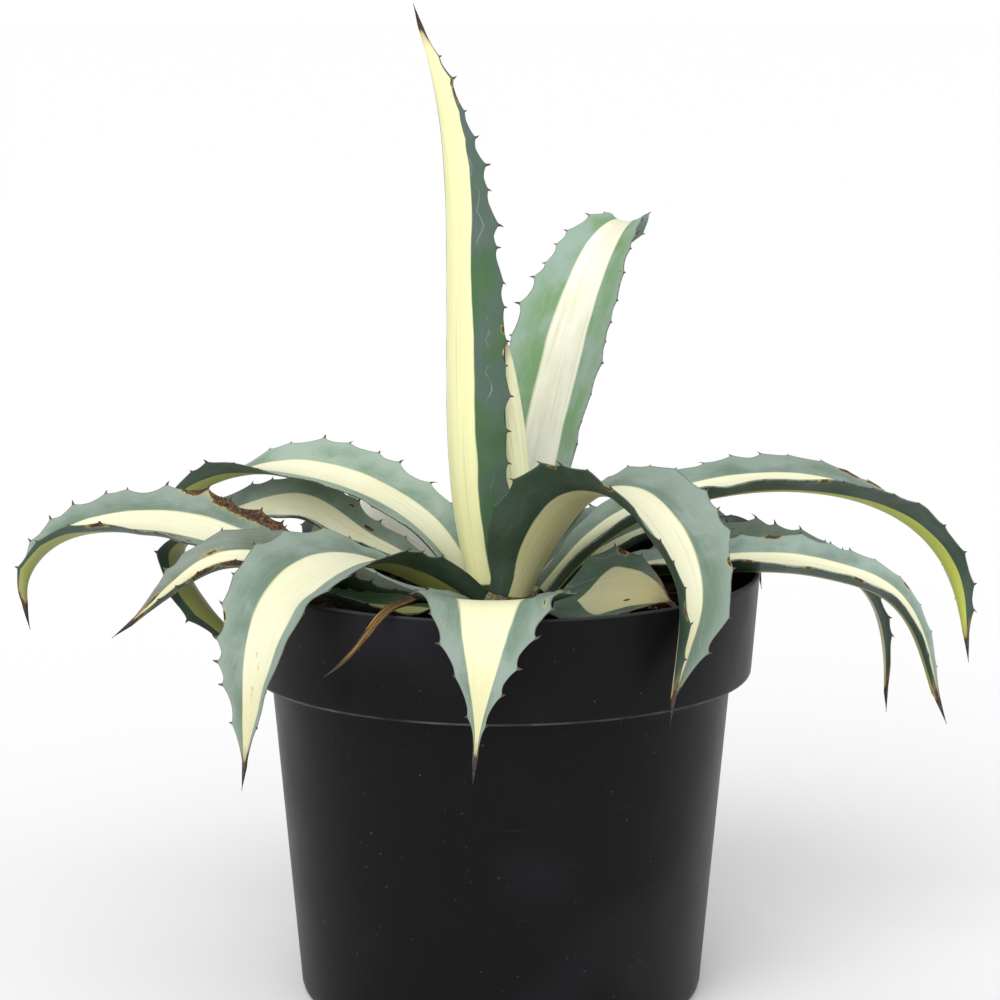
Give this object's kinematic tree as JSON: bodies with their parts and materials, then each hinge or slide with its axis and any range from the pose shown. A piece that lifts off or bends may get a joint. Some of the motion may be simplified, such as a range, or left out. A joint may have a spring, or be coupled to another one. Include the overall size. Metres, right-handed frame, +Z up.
{
  "type": "potted agave",
  "caption": "Potted agave: a rosette of cream-striped, toothed blue-green leaves arching over a black wide-band nursery pot of potting mix.",
  "frame": {"origin": "centre of the pot's underside", "axes": "+Z up; the front of the plant is towards -Y and +X is to the right seen from the front"},
  "size_m": [0.488, 0.315, 0.497],
  "materials": {
    "black_plastic": "satin, lightly scuffed and dusty",
    "potting_mix": "crumbly, barky peat mix",
    "stem_fibre": "fibrous, matt",
    "leaf": "waxy grey-green with a cream stripe down the middle",
    "dried_leaf": "dry, shrivelled, brown"
  },
  "bodies": {
    "root": {"pot": "black_plastic", "potting_mix": "potting_mix", "stem": "stem_fibre", "bud": "leaf", "leaf_spear": "leaf", "leaf_upright": "leaf", "leaf_front_right": "leaf", "leaf_upper_left": "leaf", "leaf_upper_right": "leaf", "leaf_front_left": "leaf", "leaf_curled_left": "leaf", "leaf_back_right": "leaf", "leaf_back_left": "leaf", "leaf_rear_left": "leaf", "leaf_rear_right": "leaf", "leaf_outer_left": "leaf", "leaf_rear": "leaf", "leaf_lower_right": "leaf", "leaf_front": "leaf", "leaf_small_left": "leaf", "leaf_behind_right": "leaf", "leaf_tucked": "leaf", "leaf_low_left": "leaf", "leaf_dried": "dried_leaf"}
  },
  "joints": []
}
